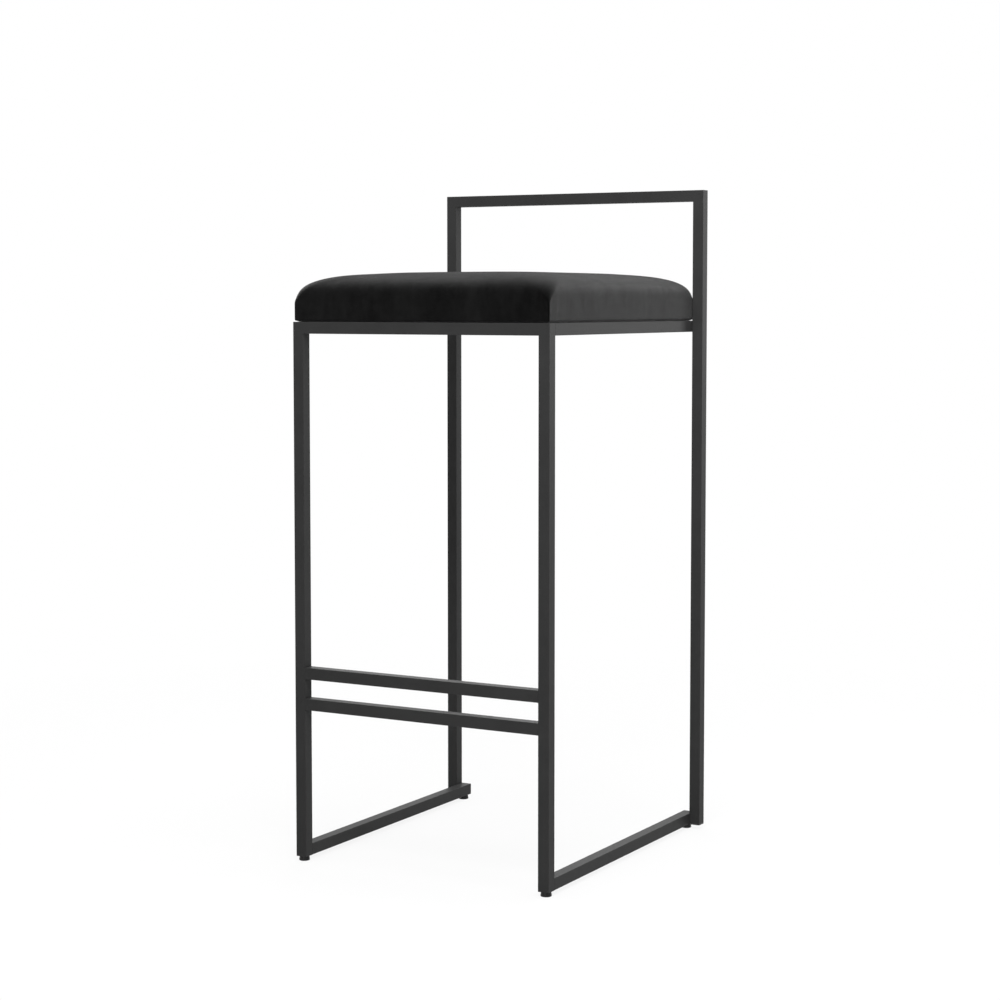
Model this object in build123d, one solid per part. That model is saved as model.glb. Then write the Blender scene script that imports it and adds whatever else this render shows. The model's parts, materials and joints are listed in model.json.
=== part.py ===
from build123d import *
import os
from math import ceil, cos, radians, sin, sqrt

# Bar stool with a footrest, in millimetres: +Z up, front towards -Y, origin on the floor
# under the middle of the stool

# Overall sizes
overall_height = 870
depth = 422
base_width = 370
seat_frame_height = 695

# Square steel tube of the frame
tube = 15
tube_wall = 1.5
tube_corner = 0.5
bore_corner = 0.5

# Footrest: two bars between the front legs
footrest_top = 252.5
footrest_gap = 25

# Closed tube ends
end_plate = 2
cap_flange = 2
cap_plug = 12
cap_wall = 1.5
plug_clearance = 0.1

# Levelling glides: a pad on a threaded stud
pad_height = 6
pad_diameter = 14
pad_top_diameter = 12.4
pad_edge = 0.8
pad_floor = 2
stud_diameter = 6
stud_reach = 12
thread_play = 0.1
hole_play = 0.6
rear_glide_inset = 8.5
insert_length = 16
weld_nut_flats = 10
weld_nut_height = 5

# Seat mounting: corner plates welded inside the seat frame, screwed up into T-nuts
gusset_leg = 50
gusset_thickness = 3
screw_inset = 18
screw_diameter = 6
screw_head_diameter = 10.5
screw_head_height = 3.3
screw_head_edge = 1.2
socket_flats = 4
socket_depth = 2
washer_diameter = 12
washer_thickness = 1.2
t_nut_barrel = 8
t_nut_length = 9
t_nut_flange = 18
t_nut_plate = 1.2
barrel_play = 0.2

# Seat cushion: plywood board, foam and a velvet cover drawn over both
cushion_inset = 1
cushion_rear_inset = 7
cushion_crown = 65
cushion_shoulder = 61
cushion_edge_start = 31
cushion_edge_reach = 56
cushion_edge_power = 3
cushion_corner_start = 25
cushion_corner = 2
cushion_top_corner = 42
cushion_corner_power = 1.1
cushion_tuck = 3
cushion_crown_inset = 140
crown_corner_share = 0.9
cover_thickness = 1.2
cover_ease = 0.3
board_thickness = 12
hem_reach = 27

# Black cloth under the seat and its staples
dust_margin = 3
dust_thickness = 0.6
staple_inset = 7
staple_crown = 10
staple_wire = 0.7
staple_leg = 8
staple_pitch = 42

# How finely the cushion's rounded parts are stepped
tuck_steps = 3
corner_steps = 3
edge_steps = 9
crown_steps = 5

# Places that several pieces share
half_width = base_width / 2
half_depth = depth / 2
frame_bottom = pad_height
side_axis = half_width - tube / 2
post_axis = half_width + tube / 2
front_axis = -half_depth + tube / 2
rear_axis = half_depth - tube / 2
seat_axis = seat_frame_height - tube / 2
floor_axis = frame_bottom + tube / 2
bar_axis = overall_height - tube / 2
bore = tube - 2 * tube_wall
inner_half_width = half_width - tube
inner_half_depth = half_depth - tube
seat_base = seat_frame_height + cover_thickness
board_top = seat_base + board_thickness
gusset_bottom = seat_frame_height - gusset_thickness

toward_right = Vector(1, 0, 0)
toward_left = Vector(-1, 0, 0)
toward_front = Vector(0, -1, 0)
toward_rear = Vector(0, 1, 0)
upward = Vector(0, 0, 1)
downward = Vector(0, 0, -1)

os.makedirs("parts", exist_ok=True)


def save(name, *solids):
    shape = solids[0] if len(solids) == 1 else Compound(children=list(solids))
    export_step(shape, f"parts/{name}.step")


def level(sketch, height):
    return Pos(0, 0, height) * sketch


def post_of(sketch, low, high):
    return extrude(level(sketch, low), amount=high - low, dir=(0, 0, 1))


def round_post(diameter, low, high):
    return post_of(Circle(diameter / 2), low, high)


# Frame tubes
def tube_outline():
    return RectangleRounded(tube, tube, tube_corner)


def square_tube(start, end, start_meets=None, end_meets=None):
    """A hollow tube between two points of its middle line, mitred where it meets another tube."""
    start = Vector(start)
    end = Vector(end)
    along = (end - start).normalized()
    across = toward_right if abs(along.Z) > abs(along.X) + abs(along.Y) else upward
    head = start if start_meets is None else start - along * tube
    tail = end if end_meets is None else end + along * tube
    section = tube_outline() - RectangleRounded(bore, bore, bore_corner)
    solid = extrude(Plane(head, x_dir=across, z_dir=along) * section, amount=(tail - head).length)
    if start_meets is not None:
        solid = split(solid, bisect_by=Plane(start, z_dir=start_meets - along), keep=Keep.BOTTOM)
    if end_meets is not None:
        solid = split(solid, bisect_by=Plane(end, z_dir=end_meets + along), keep=Keep.BOTTOM)
    return solid.solid()


def front_leg(side):
    inward = toward_right if side < 0 else toward_left
    x = side * side_axis
    return square_tube((x, front_axis, frame_bottom), (x, front_axis, seat_axis), end_meets=inward)


def front_seat_rail():
    return square_tube(
        (-side_axis, front_axis, seat_axis), (side_axis, front_axis, seat_axis), downward, downward
    )


def side_seat_rail(side):
    inward = toward_right if side < 0 else toward_left
    x = side * side_axis
    return square_tube((x, -inner_half_depth, seat_axis), (x, rear_axis, seat_axis), end_meets=inward)


def rear_seat_rail():
    return square_tube(
        (-side_axis, rear_axis, seat_axis), (side_axis, rear_axis, seat_axis), toward_front, toward_front
    )


def floor_rail(side):
    x = side * side_axis
    rail = square_tube((x, -inner_half_depth, floor_axis), (x, half_depth - end_plate, floor_axis))
    stud_hole = round_post(stud_diameter + hole_play, frame_bottom - tube_wall, floor_axis)
    return (rail - Pos(x, half_depth - rear_glide_inset, 0) * stud_hole).solid()


def footrest_bar(top):
    z = top - tube / 2
    return square_tube((-inner_half_width, front_axis, z), (inner_half_width, front_axis, z))


def rear_post(side):
    inward = toward_right if side < 0 else toward_left
    x = side * post_axis
    return square_tube((x, rear_axis, frame_bottom + cap_flange), (x, rear_axis, bar_axis), end_meets=inward)


def backrest_bar():
    return square_tube((-post_axis, rear_axis, bar_axis), (post_axis, rear_axis, bar_axis), downward, downward)


# Closed tube ends
def rail_end_plate(side):
    seat = Plane((side * side_axis, half_depth - end_plate, floor_axis), x_dir=upward, z_dir=toward_rear)
    return extrude(seat * tube_outline(), amount=end_plate)


def post_cap(side):
    plug = bore - 2 * plug_clearance
    hollow = plug - 2 * cap_wall
    top = frame_bottom + cap_flange
    cap = post_of(tube_outline(), frame_bottom, top)
    cap += post_of(RectangleRounded(plug, plug, bore_corner), top, top + cap_plug)
    cap -= post_of(RectangleRounded(hollow, hollow, bore_corner), top, top + cap_plug)
    return (Pos(side * post_axis, rear_axis, 0) * cap).solid()


# Levelling glides
glide_places = {
    "front_left": (-side_axis, front_axis),
    "front_right": (side_axis, front_axis),
    "rear_left": (-side_axis, half_depth - rear_glide_inset),
    "rear_right": (side_axis, half_depth - rear_glide_inset),
}
stud_bore = stud_diameter + thread_play


def leg_insert():
    plug = bore - 2 * plug_clearance
    body = post_of(RectangleRounded(plug, plug, bore_corner), frame_bottom, frame_bottom + insert_length)
    return body - round_post(stud_bore, frame_bottom, frame_bottom + insert_length)


def weld_nut():
    low = frame_bottom + tube_wall
    hexagon = RegularPolygon(weld_nut_flats / sqrt(3), 6)
    return post_of(hexagon, low, low + weld_nut_height) - round_post(stud_bore, low, low + weld_nut_height)


def glide_stud():
    return round_post(stud_diameter, pad_floor, frame_bottom + stud_reach)


def glide_pad():
    foot = pad_diameter / 2
    outline = Polyline(
        (0, 0), (foot, 0), (foot, pad_height / 3), (pad_top_diameter / 2, pad_height), (0, pad_height), close=True
    )
    pad = revolve(Plane.XZ * make_face(outline), axis=Axis.Z)
    rim = [edge for edge in pad.edges().filter_by(GeomType.CIRCLE) if edge.radius > pad_floor]
    pad = fillet([edge for edge in rim if edge.center().Z < pad_edge], pad_edge)
    return pad - round_post(stud_bore, pad_floor, pad_height)


# Seat mounting
corners = [(-1, -1), (1, -1), (-1, 1), (1, 1)]
corner_names = ["front_left", "front_right", "rear_left", "rear_right"]
screw_x = inner_half_width - screw_inset
screw_y = inner_half_depth - screw_inset


def at_screws(shape):
    return [Pos(side * screw_x, end * screw_y, 0) * shape for side, end in corners]


def seat_gusset(side, end):
    x = side * inner_half_width
    y = end * inner_half_depth
    outline = Polyline((x, y), (x - side * gusset_leg, y), (x, y - end * gusset_leg), close=True)
    plate = post_of(make_face(outline), gusset_bottom, seat_frame_height)
    hole = round_post(screw_diameter + hole_play, gusset_bottom, seat_frame_height)
    return (plate - Pos(side * screw_x, end * screw_y, 0) * hole).solid()


def seat_washer():
    low = gusset_bottom - washer_thickness
    return round_post(washer_diameter, low, gusset_bottom) - round_post(
        screw_diameter + hole_play, low, gusset_bottom
    )


def seat_screw():
    seat = gusset_bottom - washer_thickness
    low = seat - screw_head_height
    head = round_post(screw_head_diameter, low, seat)
    head = fillet(head.edges().group_by(Axis.Z)[0], screw_head_edge)
    head -= post_of(RegularPolygon(socket_flats / sqrt(3), 6), low, low + socket_depth)
    return head + round_post(screw_diameter, seat, board_top)


def t_nut():
    barrel = round_post(t_nut_barrel, board_top - t_nut_length, board_top)
    plate = round_post(t_nut_flange, board_top, board_top + t_nut_plate)
    return barrel + plate - round_post(
        screw_diameter + thread_play, board_top - t_nut_length, board_top + t_nut_plate
    )


# Seat cushion
def cushion_levels(skin, base):
    """Height, inset and corner radius of the cushion's outlines, a skin's thickness inside its surface."""
    tuck = cushion_tuck - base
    reach = cushion_edge_reach - skin
    shoulder = cushion_shoulder - skin
    crown = cushion_crown - skin
    half = half_width - cushion_inset - skin
    levels = []
    for step in range(tuck_steps + 1):
        angle = radians(90 * step / tuck_steps)
        levels.append((base + tuck * (1 - cos(angle)), tuck * (1 - sin(angle)), cushion_corner - skin))

    def corner_at(height):
        share = (height - cushion_corner_start) / (shoulder - cushion_corner_start)
        return cushion_corner - skin + (cushion_top_corner - cushion_corner) * share**cushion_corner_power

    for step in range(corner_steps):
        height = cushion_corner_start + (cushion_edge_start - cushion_corner_start) * step / corner_steps
        levels.append((height, 0, corner_at(height)))
    for step in range(edge_steps + 1):
        share = sin(radians(90 * step / edge_steps))
        height = cushion_edge_start + (shoulder - cushion_edge_start) * share
        levels.append((height, reach * (1 - sqrt(1 - share**cushion_edge_power)), corner_at(height)))
    for step in range(1, crown_steps + 1):
        inset = reach + (cushion_crown_inset - reach) * step / crown_steps
        share = (half - inset) / (half - reach)
        height = shoulder + (crown - shoulder) * (1 - share**2)
        levels.append((height, inset, min(cushion_top_corner, crown_corner_share * (half - inset))))
    return levels


def cushion_form(skin, base):
    width = base_width - 2 * (cushion_inset + skin)
    front = -half_depth + cushion_inset + skin
    rear = half_depth - cushion_rear_inset - skin
    outlines = []
    for height, inset, corner in cushion_levels(skin, base):
        outline = RectangleRounded(width - 2 * inset, rear - front - 2 * inset, corner)
        outlines.append(Pos(0, (front + rear) / 2, seat_frame_height + height) * outline)
    return loft(outlines, ruled=True)


def seat_cover():
    window = Box(base_width - 2 * hem_reach, depth - 2 * hem_reach, 4 * cover_thickness)
    shell = cushion_form(0, 0) - cushion_form(cover_thickness, cover_thickness)
    return (shell - Pos(0, 0, seat_frame_height) * window).solid()


stuffing = cushion_form(cover_thickness + cover_ease, cover_thickness)
board_face = Plane((0, 0, board_top), z_dir=upward)


def seat_board():
    board = split(stuffing, bisect_by=board_face, keep=Keep.BOTTOM)
    for hole in at_screws(round_post(t_nut_barrel + barrel_play, seat_base, board_top)):
        board -= hole
    return board.solid()


def seat_foam():
    foam = split(stuffing, bisect_by=board_face, keep=Keep.TOP)
    pocket = round_post(t_nut_flange + 2 * barrel_play, board_top, board_top + t_nut_plate + barrel_play)
    for hollow in at_screws(pocket):
        foam -= hollow
    return foam.solid()


# Cloth under the seat
dust_half_width = inner_half_width - dust_margin
dust_half_depth = inner_half_depth - dust_margin
dust_clip = gusset_leg + sqrt(2) * dust_margin - 2 * dust_margin


def seat_dust_cover():
    sheet = Rectangle(2 * dust_half_width, 2 * dust_half_depth)
    cloth = chamfer(sheet.vertices(), dust_clip)
    return post_of(cloth, seat_frame_height - dust_thickness, seat_frame_height)


def staple():
    crown_top = seat_frame_height - dust_thickness
    crown = Pos(0, 0, crown_top - staple_wire / 2) * Box(staple_crown, staple_wire, staple_wire)
    leg = Box(staple_wire, staple_wire, staple_leg)
    lift = crown_top + staple_leg / 2
    reach = (staple_crown - staple_wire) / 2
    return (crown + Pos(-reach, 0, lift) * leg + Pos(reach, 0, lift) * leg).solid()


def staple_row(half_run):
    count = max(2, ceil(2 * half_run / staple_pitch))
    return [half_run * (2 * index / (count - 1) - 1) for index in range(count)]


def cover_staples():
    line_x = inner_half_width - staple_inset
    line_y = inner_half_depth - staple_inset
    clear = gusset_leg + staple_crown
    staples = []
    for x in staple_row(inner_half_width - clear):
        staples += [Pos(x, end * line_y, 0) * staple() for end in (-1, 1)]
    for y in staple_row(inner_half_depth - clear):
        staples += [Pos(side * line_x, y, 0) * Rot(0, 0, 90) * staple() for side in (-1, 1)]
    return staples


# Write every piece
for side_name, side in (("left", -1), ("right", 1)):
    save(f"front_{side_name}_leg", front_leg(side))
    save(f"{side_name}_seat_rail", side_seat_rail(side))
    save(f"{side_name}_floor_rail", floor_rail(side))
    save(f"{side_name}_rail_end_plate", rail_end_plate(side))
    save(f"rear_{side_name}_post", rear_post(side))
    save(f"rear_{side_name}_post_cap", post_cap(side))

save("front_seat_rail", front_seat_rail())
save("rear_seat_rail", rear_seat_rail())
save("upper_footrest_bar", footrest_bar(footrest_top))
save("lower_footrest_bar", footrest_bar(footrest_top - tube - footrest_gap))
save("backrest_bar", backrest_bar())

for name, (x, y) in glide_places.items():
    holder = leg_insert() if name.startswith("front") else weld_nut()
    save(f"{name}_glide_nut", Pos(x, y, 0) * holder)
    save(f"{name}_glide_stud", Pos(x, y, 0) * glide_stud())
    save(f"{name}_glide_pad", Pos(x, y, 0) * glide_pad())

for name, (side, end) in zip(corner_names, corners):
    save(f"{name}_seat_gusset", seat_gusset(side, end))

save("seat_screws", *at_screws(seat_screw()))
save("seat_washers", *at_screws(seat_washer()))
save("seat_t_nuts", *at_screws(t_nut()))
save("seat_board", seat_board())
save("seat_foam", seat_foam())
save("seat_cover", seat_cover())
save("seat_dust_cover", seat_dust_cover())
save("cover_staples", *cover_staples())
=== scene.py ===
import json
import math

import bmesh
import bpy
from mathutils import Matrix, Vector
from mathutils.kdtree import KDTree


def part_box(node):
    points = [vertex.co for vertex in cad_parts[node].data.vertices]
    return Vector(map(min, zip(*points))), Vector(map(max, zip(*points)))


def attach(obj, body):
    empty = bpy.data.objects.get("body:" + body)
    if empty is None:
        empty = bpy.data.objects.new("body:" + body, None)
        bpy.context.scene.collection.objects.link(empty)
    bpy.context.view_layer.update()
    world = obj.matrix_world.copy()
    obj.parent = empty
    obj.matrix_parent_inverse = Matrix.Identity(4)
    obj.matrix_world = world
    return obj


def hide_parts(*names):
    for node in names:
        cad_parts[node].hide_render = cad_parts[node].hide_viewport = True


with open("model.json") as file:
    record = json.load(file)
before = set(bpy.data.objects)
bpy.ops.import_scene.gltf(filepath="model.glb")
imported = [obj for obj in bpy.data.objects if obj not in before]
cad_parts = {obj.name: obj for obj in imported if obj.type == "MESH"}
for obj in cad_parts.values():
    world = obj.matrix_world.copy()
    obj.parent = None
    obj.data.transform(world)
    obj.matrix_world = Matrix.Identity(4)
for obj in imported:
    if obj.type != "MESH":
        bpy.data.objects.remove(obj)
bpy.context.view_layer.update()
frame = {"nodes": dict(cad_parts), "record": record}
scene = bpy.context.scene
print("stool frame loaded", len(frame["nodes"]), "nodes")


def shaderNode(tree, kind, sockets=None, **settings):
    made = tree.nodes.new(kind)
    for name, value in settings.items():
        setattr(made, name, value)
    for name, value in (sockets or {}).items():
        if isinstance(value, bpy.types.NodeSocket):
            tree.links.new(value, made.inputs[name])
        else:
            made.inputs[name].default_value = value
    return made


def newFinish(name, **sockets):
    finish = bpy.data.materials.new(name)
    finish.use_nodes = True
    tree = finish.node_tree
    surface = tree.nodes["Principled BSDF"]
    for key, value in sockets.items():
        surface.inputs[key.replace("_", " ")].default_value = value
    place = tree.nodes.new("ShaderNodeTexCoord").outputs["Object"]
    return finish, tree, surface, place


def feed(tree, surface, **sources):
    for key, source in sources.items():
        tree.links.new(source, surface.inputs[key.replace("_", " ")])


def noise(tree, place, scale, detail=2.0, roughness=0.5, stretch=(1.0, 1.0, 1.0)):
    stretched = shaderNode(tree, "ShaderNodeMapping", {"Vector": place, "Scale": stretch})
    return shaderNode(tree, "ShaderNodeTexNoise", {
        "Vector": stretched.outputs["Vector"], "Scale": scale, "Detail": detail, "Roughness": roughness,
    }).outputs["Fac"]


def cells(tree, place, scale):
    return shaderNode(tree, "ShaderNodeTexVoronoi", {"Vector": place, "Scale": scale}).outputs["Distance"]


def spread(tree, value, low, high, fromLow=0.3, fromHigh=0.7):
    return shaderNode(tree, "ShaderNodeMapRange", {
        "Value": value, "From Min": fromLow, "From Max": fromHigh, "To Min": low, "To Max": high,
    }).outputs["Result"]


def shades(tree, value, dark, light, fromLow=0.3, fromHigh=0.7):
    ramp = shaderNode(tree, "ShaderNodeValToRGB", {"Fac": value})
    ramp.color_ramp.elements[0].color = (*dark, 1)
    ramp.color_ramp.elements[1].color = (*light, 1)
    ramp.color_ramp.elements[0].position = fromLow
    ramp.color_ramp.elements[1].position = fromHigh
    return ramp.outputs["Color"]


def bumps(tree, height, distance, under=None):
    sockets = {"Height": height, "Distance": distance, "Strength": 1.0}
    if under is not None:
        sockets["Normal"] = under
    return shaderNode(tree, "ShaderNodeBump", sockets).outputs["Normal"]


def shownRays(tree):
    # 1 for what the camera sees, straight, in gloss or through clear things, and 0 for light that bounces
    seen = shaderNode(tree, "ShaderNodeLightPath")
    shown = shaderNode(tree, "ShaderNodeMath", operation="MAXIMUM", sockets={
        0: seen.outputs["Is Camera Ray"], 1: seen.outputs["Is Glossy Ray"]})
    shown = shaderNode(tree, "ShaderNodeMath", operation="MAXIMUM", sockets={
        0: shown.outputs[0], 1: seen.outputs["Is Transmission Ray"]})
    return shown.outputs[0]


def mixShaders(tree, share, first, second):
    return shaderNode(tree, "ShaderNodeMixShader", {"Fac": share, 1: first.outputs[0], 2: second.outputs[0]})


# black powder coat on the welded tube: fine orange peel, a little uneven in gloss
powderCoatLook = dict(dark=(0.046, 0.046, 0.046), light=(0.052, 0.052, 0.052), gloss=(0.43, 0.47),
                      specular=0.04, cloud=30, peel=900, peelDepth=0.00005, speck=2600, speckDepth=0.00002)


def powderCoat(look):
    finish, tree, surface, place = newFinish("blackPowderCoat", Specular_IOR_Level=look["specular"])
    cloud = noise(tree, place, look["cloud"], detail=3)
    peel = noise(tree, place, look["peel"], roughness=0.55)
    speck = noise(tree, place, look["speck"], detail=1)
    fine = bumps(tree, speck, look["speckDepth"])
    feed(tree, surface,
         Base_Color=shades(tree, cloud, look["dark"], look["light"]),
         Roughness=spread(tree, cloud, *look["gloss"]),
         Normal=bumps(tree, peel, look["peelDepth"], under=fine))
    return finish


# black velvet pile: almost no diffuse light, a soft sheen, nap brushed in upright streaks and blotches
velvetLook = dict(dark=(0.0, 0.0, 0.0), light=(0.0066, 0.0066, 0.0066), napRange=(0.38, 0.62),
                  roughness=0.9, sheen=0.3, sheenRoughness=0.45, streak=32, streakStretch=(1.0, 1.0, 0.22),
                  blotch=85, blotchShare=0.3, napDepth=0.0004, brush=15, brushDepth=0.0016,
                  pile=2200, pileDepth=0.00025)


def velvetPile(look):
    finish, tree, surface, place = newFinish(
        "blackVelvet", Roughness=look["roughness"], Specular_IOR_Level=0.0, Sheen_Weight=look["sheen"],
        Sheen_Roughness=look["sheenRoughness"], Sheen_Tint=(1, 1, 1, 1))
    streak = noise(tree, place, look["streak"], detail=4, roughness=0.62, stretch=look["streakStretch"])
    blotch = noise(tree, place, look["blotch"], detail=3, roughness=0.6)
    lie = shaderNode(tree, "ShaderNodeMix", {"Factor": look["blotchShare"], "A": streak, "B": blotch})
    pile = noise(tree, place, look["pile"], roughness=0.7)
    patches = bumps(tree, noise(tree, place, look["brush"]), look["brushDepth"])
    nap = bumps(tree, streak, look["napDepth"], under=patches)
    feed(tree, surface,
         Base_Color=shades(tree, lie.outputs["Result"], look["dark"], look["light"], *look["napRange"]),
         Normal=bumps(tree, pile, look["pileDepth"], under=nap))
    return finish


# moulded plastic, faintly stippled: the caps and plugs, and the darker, glossier glide pads
capLook = dict(dark=(0.0096, 0.0096, 0.0096), light=(0.0144, 0.0144, 0.0144), gloss=(0.5, 0.6), specular=0.5,
               cloud=120, stipple=1400, stippleDepth=0.00003)
glideLook = dict(capLook, dark=(0.0048, 0.0048, 0.0048), light=(0.0072, 0.0072, 0.0072), gloss=(0.15, 0.25),
                 specular=0.25)


def mouldedPlastic(name, look):
    finish, tree, surface, place = newFinish(name, Specular_IOR_Level=look["specular"])
    stipple = noise(tree, place, look["stipple"])
    cloud = noise(tree, place, look["cloud"])
    feed(tree, surface,
         Base_Color=shades(tree, cloud, look["dark"], look["light"]),
         Roughness=spread(tree, cloud, *look["gloss"]),
         Normal=bumps(tree, stipple, look["stippleDepth"]))
    return finish


# bright zinc plate on studs, nuts, washers and staples
zincLook = dict(dark=(0.46, 0.46, 0.45), light=(0.63, 0.63, 0.61), gloss=(0.28, 0.45), cloud=260,
                rub=900, rubStretch=(1, 1, 0.1), rubDepth=0.00002)


def zincPlate(look):
    finish, tree, surface, place = newFinish("zincPlate", Metallic=1.0)
    cloud = noise(tree, place, look["cloud"], detail=3)
    rub = noise(tree, place, look["rub"], stretch=look["rubStretch"])
    feed(tree, surface,
         Base_Color=shades(tree, cloud, look["dark"], look["light"]),
         Roughness=spread(tree, rub, *look["gloss"]),
         Normal=bumps(tree, rub, look["rubDepth"]))
    return finish


# black oxide of the seat screws
oxideLook = dict(dark=(0.03, 0.03, 0.032), light=(0.06, 0.06, 0.062), gloss=(0.35, 0.5), cloud=500)


def blackOxide(look):
    finish, tree, surface, place = newFinish("blackOxide", Metallic=1.0)
    cloud = noise(tree, place, look["cloud"], detail=3)
    feed(tree, surface,
         Base_Color=shades(tree, cloud, look["dark"], look["light"]),
         Roughness=spread(tree, cloud, *look["gloss"]))
    return finish


# birch plywood of the seat board: long grain, with the plies showing on its edge
plyLook = dict(dark=(0.46, 0.31, 0.17), light=(0.66, 0.49, 0.30), gloss=(0.55, 0.75), specular=0.3,
               grain=18, grainStretch=(1.0, 14.0, 1.0), grainDepth=0.0002,
               plies=4, plyStretch=(0.0, 0.0, 110.0), plyDark=(0.75, 0.72, 0.68), plyLight=(1.0, 1.0, 1.0))


def birchPly(look):
    finish, tree, surface, place = newFinish("birchPly", Specular_IOR_Level=look["specular"])
    grain = noise(tree, place, look["grain"], detail=5, roughness=0.6, stretch=look["grainStretch"])
    plies = noise(tree, place, look["plies"], detail=0, stretch=look["plyStretch"])
    wood = shades(tree, grain, look["dark"], look["light"])
    layers = shades(tree, plies, look["plyDark"], look["plyLight"])
    layered = shaderNode(tree, "ShaderNodeMix", {"Factor": 1.0, "A": wood, "B": layers},
                         data_type="RGBA", blend_type="MULTIPLY")
    feed(tree, surface,
         Base_Color=layered.outputs["Result"],
         Roughness=spread(tree, grain, *look["gloss"]),
         Normal=bumps(tree, grain, look["grainDepth"]))
    return finish


# thin black non-woven cloth under the seat: pressed fibres and small bonding dots
nonWovenLook = dict(dark=(0.008, 0.008, 0.008), light=(0.022, 0.022, 0.022), roughness=0.85, specular=0.2,
                    sheen=0.2, fibre=700, fibreDepth=0.0002, dots=550.0, dotDepth=0.0002)


def nonWoven(look):
    finish, tree, surface, place = newFinish(
        "nonWoven", Roughness=look["roughness"], Specular_IOR_Level=look["specular"],
        Sheen_Weight=look["sheen"])
    fibre = noise(tree, place, look["fibre"], detail=4, roughness=0.7)
    pressed = bumps(tree, cells(tree, place, look["dots"]), look["dotDepth"])
    feed(tree, surface,
         Base_Color=shades(tree, fibre, look["dark"], look["light"]),
         Normal=bumps(tree, fibre, look["fibreDepth"], under=pressed))
    return finish


# cut upholstery foam, inside the cover
foamLook = dict(dark=(0.70, 0.64, 0.48), light=(0.80, 0.75, 0.60), roughness=0.95, specular=0.1,
                pores=900.0, poreDepth=0.0006)


def cutFoam(look):
    finish, tree, surface, place = newFinish(
        "cutFoam", Roughness=look["roughness"], Specular_IOR_Level=look["specular"])
    pores = cells(tree, place, look["pores"])
    feed(tree, surface,
         Base_Color=shades(tree, pores, look["dark"], look["light"]),
         Normal=bumps(tree, pores, look["poreDepth"]))
    return finish


finishes = {
    "frame_paint": powderCoat(powderCoatLook),
    "velvet": velvetPile(velvetLook),
    "foam": cutFoam(foamLook),
    "plywood": birchPly(plyLook),
    "dust_cloth": nonWoven(nonWovenLook),
    "black_plastic": mouldedPlastic("capPlastic", capLook),
    "glide_plastic": mouldedPlastic("glidePlastic", glideLook),
    "zinc_steel": zincPlate(zincLook),
    "black_screw": blackOxide(oxideLook),
}
for part in frame["record"]["subparts"]:
    for slot in frame["nodes"][part["node"]].material_slots:
        slot.material = finishes[part["material_slot"]]
print("finishes laid on the welded frame and fittings")


def newPiece(name, bm, finish):
    bmesh.ops.recalc_face_normals(bm, faces=bm.faces)
    mesh = bpy.data.meshes.new(name)
    bm.to_mesh(mesh)
    bm.free()
    for face in mesh.polygons:
        face.use_smooth = True
    mesh.materials.append(finish)
    piece = bpy.data.objects.new(name, mesh)
    scene.collection.objects.link(piece)
    return piece


# seat cushion: upright sides, soft shoulders, corners that round off towards the crown
cushionShape = dict(
    crown=0.0630, shoulder=0.0602, sideTop=0.031, reach=0.056, rollPower=3.0,  # heights, roll of the edge
    corner=0.0020, topCorner=0.042, cornerStart=0.025, cornerPower=1.1, cornerLimit=0.98,
    tuck=0.002, reveal=0.0012, revealDepth=0.0030, revealFold=0.9, revealDraft=0.0003,  # foot of the sides
    hem=0.025, hemRise=0.002, hemEdge=0.0002, mergeGap=0.00005,
    sideSteps=44, cornerSteps=12, tuckSteps=5, wallSteps=12, rollSteps=24, crownSteps=18,
    swell=dict(voxel=0.005, heldBelow=0.020, freeAbove=0.040, pressure=0.25, most=0.0015, frames=20,
               neighbours=16, quality=6, mass=0.25, tension=30, compression=30, shear=15, bending=4),
)


def cushionProfile(shape, half):
    # height, inset and corner radius from the middle of the underside to the top of the crown
    corner, hem, hemRise = shape["corner"], shape["hem"], shape["hemRise"]
    reveal, revealDepth, tuck = shape["reveal"], shape["revealDepth"], shape["tuck"]
    shoulder, sideTop, reach = shape["shoulder"], shape["sideTop"], shape["reach"]

    def cornerAt(height):
        share = max(0.0, (height - shape["cornerStart"]) / (shoulder - shape["cornerStart"]))
        return corner + (shape["topCorner"] - corner) * share ** shape["cornerPower"]

    # underside, with the hem of the cover on it, then the narrow gap above the seat rails
    profile = [(hemRise, half, corner), (hemRise, half * 0.5, corner)]
    profile += [(hemRise, hem + shape["hemEdge"], corner), (0.0, hem, corner)]
    profile += [(0.0, hem * 0.5, corner), (0.0, revealDepth, corner)]
    profile += [(reveal * shape["revealFold"], revealDepth - shape["revealDraft"], corner)]
    for step in range(shape["tuckSteps"] + 1):
        turn = math.radians(90 * step / shape["tuckSteps"])
        profile.append((reveal + tuck * (1 - math.cos(turn)), tuck * (1 - math.sin(turn)), corner))

    # upright side, then the roll of the edge
    sideFoot = reveal + tuck
    for step in range(1, shape["wallSteps"]):
        height = sideFoot + (sideTop - sideFoot) * step / shape["wallSteps"]
        profile.append((height, 0.0, cornerAt(height)))
    for step in range(shape["rollSteps"] + 1):
        share = math.sin(math.radians(90 * step / shape["rollSteps"]))
        height = sideTop + (shoulder - sideTop) * share
        inset = reach * (1 - math.sqrt(1 - share ** shape["rollPower"]))
        profile.append((height, inset, cornerAt(height)))

    # crown, its corners closing to a point over the inner half
    for step in range(1, shape["crownSteps"] + 1):
        inset = reach + (half - reach) * step / shape["crownSteps"]
        share = (half - inset) / (half - reach)
        height = shoulder + (shape["crown"] - shoulder) * (1 - share * share)
        profile.append((height, inset, shape["topCorner"] * min(1.0, 2 * share)))
    return profile


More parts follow.
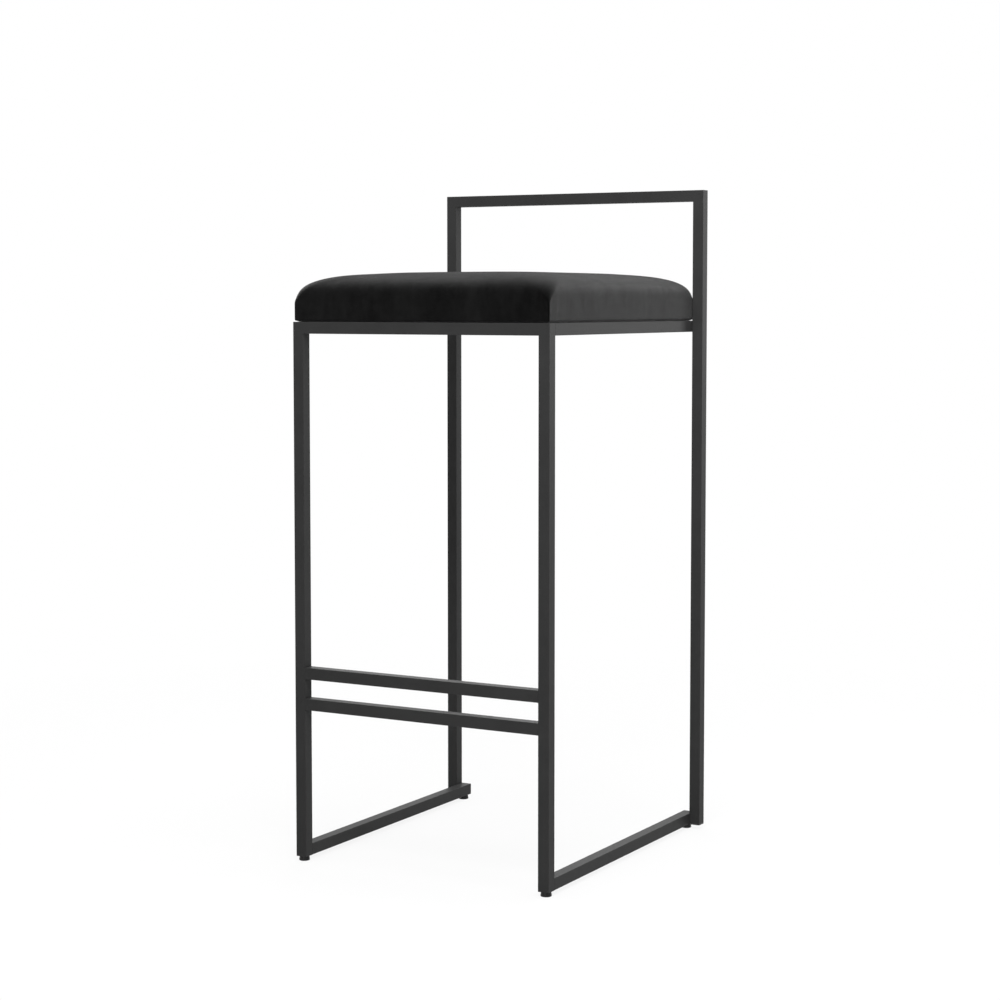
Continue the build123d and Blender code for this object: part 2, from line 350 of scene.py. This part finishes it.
def outlinePoint(share, halfX, halfY, corner, shape):
    # a point on a rounded rectangle, with share from 0 to 1 round it
    corner = min(corner, halfX * shape["cornerLimit"], halfY * shape["cornerLimit"])
    perQuarter = shape["sideSteps"] + shape["cornerSteps"]
    step = (share % 1.0) * 4 * perQuarter
    quarter = int(step // perQuarter)
    step -= quarter * perQuarter
    flatX, flatY = halfX - corner, halfY - corner
    starts = [(halfX, -flatY, 0, 1), (flatX, halfY, -1, 0), (-halfX, flatY, 0, -1), (-flatX, -halfY, 1, 0)]
    x, y, dx, dy = starts[quarter]
    run = 2 * (flatY if dx == 0 else flatX)
    if step <= shape["sideSteps"]:
        along = run * step / shape["sideSteps"]
        return x + dx * along, y + dy * along
    turn = math.radians(90 * (step - shape["sideSteps"]) / shape["cornerSteps"])
    endX, endY = x + dx * run, y + dy * run
    centreX, centreY = endX - corner * dy, endY + corner * dx
    return (centreX + corner * (dy * math.cos(turn) + dx * math.sin(turn)),
            centreY + corner * (-dx * math.cos(turn) + dy * math.sin(turn)))


def makeCushion(shape):
    low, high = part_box("seat_cover")
    middle = (low + high) / 2
    halfX, halfY = (high.x - low.x) / 2, (high.y - low.y) / 2
    half = min(halfX, halfY)
    reach = shape["reach"]
    profile = cushionProfile(shape, half)
    around = 4 * (shape["sideSteps"] + shape["cornerSteps"])
    gridHalf = 0.5
    bm = bmesh.new()
    bmesh.ops.create_grid(bm, x_segments=around, y_segments=len(profile) - 1, size=gridHalf)
    # the flat grid is wrapped: x runs round the outlines and y along the profile
    for vert in bm.verts:
        share = vert.co.x + gridHalf
        height, inset, corner = profile[round((vert.co.y + gridHalf) * (len(profile) - 1))]
        insetX = insetY = inset
        if inset > reach and height > shape["sideTop"]:  # past the roll the outlines shrink to the centre
            inner = (inset - reach) / (half - reach)
            insetX = reach + inner * (halfX - reach)
            insetY = reach + inner * (halfY - reach)
        x, y = outlinePoint(share, halfX - insetX, halfY - insetY, corner, shape)
        vert.co = (middle.x + x, middle.y + y, low.z + height)
    bmesh.ops.remove_doubles(bm, verts=bm.verts, dist=shape["mergeGap"])
    return newPiece("seatCushion", bm, finishes["velvet"])


def swellCushion(piece, swell):
    # cloth under pressure on an even trial mesh: the board holds the sides, the top fills out,
    # and the cushion takes over its swelling, no point past the cap
    trial = bpy.data.objects.new("swellTrial", piece.data.copy())
    scene.collection.objects.link(trial)
    trial.data.remesh_voxel_size = swell["voxel"]
    bpy.context.view_layer.objects.active = trial
    bpy.ops.object.voxel_remesh()
    rest = [vert.co.copy() for vert in trial.data.vertices]
    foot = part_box("seat_cover")[0].z
    held = trial.vertex_groups.new(name="held")
    for index, place in enumerate(rest):
        rise = (place.z - foot - swell["heldBelow"]) / (swell["freeAbove"] - swell["heldBelow"])
        held.add([index], 1 - min(1.0, max(0.0, rise)), "REPLACE")
    puff = trial.modifiers.new("puff", "CLOTH")
    puff.settings.quality = swell["quality"]
    puff.settings.mass = swell["mass"]
    puff.settings.tension_stiffness = swell["tension"]
    puff.settings.compression_stiffness = swell["compression"]
    puff.settings.shear_stiffness = swell["shear"]
    puff.settings.bending_stiffness = swell["bending"]
    puff.settings.use_pressure = True
    puff.settings.uniform_pressure_force = swell["pressure"]
    puff.settings.vertex_group_mass = held.name
    puff.settings.effector_weights.gravity = 0
    puff.collision_settings.use_collision = False
    puff.point_cache.frame_start, puff.point_cache.frame_end = 1, swell["frames"]
    for step in range(1, swell["frames"] + 1):
        scene.frame_set(step)
    seen = trial.evaluated_get(bpy.context.evaluated_depsgraph_get())
    moves = [vert.co - place for vert, place in zip(seen.to_mesh().vertices, rest)]
    seen.to_mesh_clear()
    near = KDTree(len(rest))
    for index, place in enumerate(rest):
        near.insert(place, index)
    near.balance()
    most = 0.0
    for vert in piece.data.vertices:
        move, weight = Vector(), 0.0
        for place, index, distance in near.find_n(vert.co, swell["neighbours"]):
            move += moves[index] / (distance + swell["voxel"])
            weight += 1 / (distance + swell["voxel"])
        move /= weight
        most = max(most, move.length)
        if move.length > swell["most"]:
            move *= swell["most"] / move.length
        vert.co += move
    scene.frame_set(1)
    bpy.data.meshes.remove(trial.data)
    print("cushion swelled", round(most * 1000, 1), "mm before the cap")


cushion = makeCushion(cushionShape)
swellCushion(cushion, cushionShape["swell"])
smooth = cushion.modifiers.new("smooth", "SUBSURF")
smooth.levels = smooth.render_levels = 1
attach(cushion, "frame")
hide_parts("seat_cover", "seat_foam")
print("cushion made", len(cushion.data.vertices), "points")

# black cloth stapled under the seat, sagging a little between the rails
dustCloth = dict(clip=0.0482, sag=0.004, thickness=0.0006, gap=0.0001, snap=1e-6, across=84, along=96)


def makeDustCloth(shape):
    low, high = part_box("seat_dust_cover")
    middle = (low + high) / 2
    halfX, halfY = (high.x - low.x) / 2, (high.y - low.y) / 2
    bm = bmesh.new()
    bmesh.ops.create_grid(bm, x_segments=shape["across"], y_segments=shape["along"], size=1.0)
    bmesh.ops.scale(bm, verts=bm.verts, vec=(halfX, halfY, 1.0))
    # the four corners are clipped to clear the corner plates
    for sideX in (-1, 1):
        for sideY in (-1, 1):
            cutPoint = Vector((sideX * (halfX - shape["clip"]), sideY * halfY, 0))
            bmesh.ops.bisect_plane(bm, geom=bm.verts[:] + bm.edges[:] + bm.faces[:], dist=shape["snap"],
                                   plane_co=cutPoint, plane_no=(sideX, sideY, 0), clear_outer=True)
    for vert in bm.verts:
        hang = (1 - (vert.co.x / halfX) ** 2) * (1 - (vert.co.y / halfY) ** 2)
        vert.co.z = -shape["sag"] * hang
    bmesh.ops.translate(bm, verts=bm.verts, vec=(middle.x, middle.y, high.z - shape["gap"]))
    piece = newPiece("seatDustCloth", bm, finishes["dust_cloth"])
    skin = piece.modifiers.new("cloth", "SOLIDIFY")
    skin.thickness = shape["thickness"]
    skin.offset = -1
    return piece


cloth = makeDustCloth(dustCloth)
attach(cloth, "frame")
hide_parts("seat_dust_cover")
print("dust cloth made")

# pale floor that keeps a soft shadow, so thin that the white studio, and a glide wound out, show through
floorLook = dict(size=40.0, clear=(0.88, 1.0), fade=(0.7, 1.6), shade=(0.96, 0.96, 0.96),
                 bounce=(0.6, 0.6, 0.6))


def makeFloor(look):
    bm = bmesh.new()
    bmesh.ops.create_grid(bm, x_segments=1, y_segments=1, size=look["size"])
    finish = bpy.data.materials.new("paleFloor")
    finish.use_nodes = True
    tree = finish.node_tree
    tree.nodes.clear()
    paint = shaderNode(tree, "ShaderNodeBsdfDiffuse", {"Color": (*look["shade"], 1)})
    bounce = shaderNode(tree, "ShaderNodeBsdfDiffuse", {"Color": (*look["bounce"], 1)})
    clear = shaderNode(tree, "ShaderNodeBsdfTransparent", {"Color": (1, 1, 1, 1)})
    place = shaderNode(tree, "ShaderNodeTexCoord").outputs["Object"]
    reach = shaderNode(tree, "ShaderNodeVectorMath", {0: place}, operation="LENGTH").outputs["Value"]
    outward = spread(tree, reach, *look["clear"], *look["fade"])
    thin = mixShaders(tree, outward, paint, clear)
    pick = mixShaders(tree, shownRays(tree), bounce, thin)
    shaderNode(tree, "ShaderNodeOutputMaterial", {"Surface": pick.outputs[0]})
    floor = newPiece("studioFloor", bm, finish)


makeFloor(floorLook)
print("floor laid")

# even white studio: the world lights softly, and shows white behind the stool and in its gloss
studio = dict(fill=0.05, white=1.0, aim=(0, 0, 0.5))


def lightWorld(look):
    world = bpy.data.worlds.new("whiteStudio")
    scene.world = world
    world.use_nodes = True
    tree = world.node_tree
    tree.nodes.clear()
    fill = shaderNode(tree, "ShaderNodeBackground", {"Color": (1, 1, 1, 1), "Strength": look["fill"]})
    white = shaderNode(tree, "ShaderNodeBackground", {"Color": (1, 1, 1, 1), "Strength": look["white"]})
    pick = mixShaders(tree, shownRays(tree), fill, white)
    shaderNode(tree, "ShaderNodeOutputWorld", {"Surface": pick.outputs[0]})


lightWorld(studio)

softboxes = [
    dict(name="topSoftbox", place=(0, 0, 2.6), size=1.8, watts=47),
    dict(name="topRearSoftbox", place=(0.2, 1.6, 2.0), size=1.4, watts=4.4),
    dict(name="leftSoftbox", place=(-2.2, 0, 1.4), size=1.2, watts=7),
    dict(name="backLeftSoftbox", place=(-1.2, 2.2, 1.4), size=1.2, watts=10.4),
    dict(name="backRightSoftbox", place=(1.5, 2.5, 0.9), size=0.9, watts=16.3),
    dict(name="frontSoftbox", place=(0.4, -2.2, 0.7), size=0.8, watts=3.6),
    dict(name="frontTopSoftbox", place=(0.5, -1.2, 1.9), size=0.7, watts=17.3),
    dict(name="rightTopSoftbox", place=(0.9, 0.2, 1.9), size=0.6, watts=5.1),
    dict(name="rightSoftbox", place=(1.1, -0.4, 0.72), size=0.3, watts=1.8),
]
for box in softboxes:
    lamp = bpy.data.lights.new(box["name"], "AREA")
    lamp.shape = "SQUARE"
    lamp.size = box["size"]
    lamp.energy = box["watts"]
    holder = bpy.data.objects.new(box["name"], lamp)
    holder.location = box["place"]
    facing = Vector(studio["aim"]) - Vector(box["place"])
    holder.rotation_euler = facing.to_track_quat("-Z", "Y").to_euler()
    scene.collection.objects.link(holder)
print("studio lit")

# camera at the photograph's place: right of the front, at the height of the seat, looking a little down
viewPoint = dict(place=(1.4275, -2.5268, 0.7201), turn=29.499, dip=4.0, lens=79.4286, shift=-0.0437,
                 sensor=36.0)
eye = bpy.data.cameras.new("photoCamera")
eye.sensor_width = viewPoint["sensor"]
eye.lens = viewPoint["lens"]
eye.shift_y = viewPoint["shift"]
cameraHolder = bpy.data.objects.new("photoCamera", eye)
cameraHolder.location = viewPoint["place"]
cameraHolder.rotation_euler = (math.radians(90 - viewPoint["dip"]), 0, math.radians(viewPoint["turn"]))
scene.collection.objects.link(cameraHolder)
scene.camera = cameraHolder

scene.view_settings.view_transform = "Standard"

print("stool dressed")
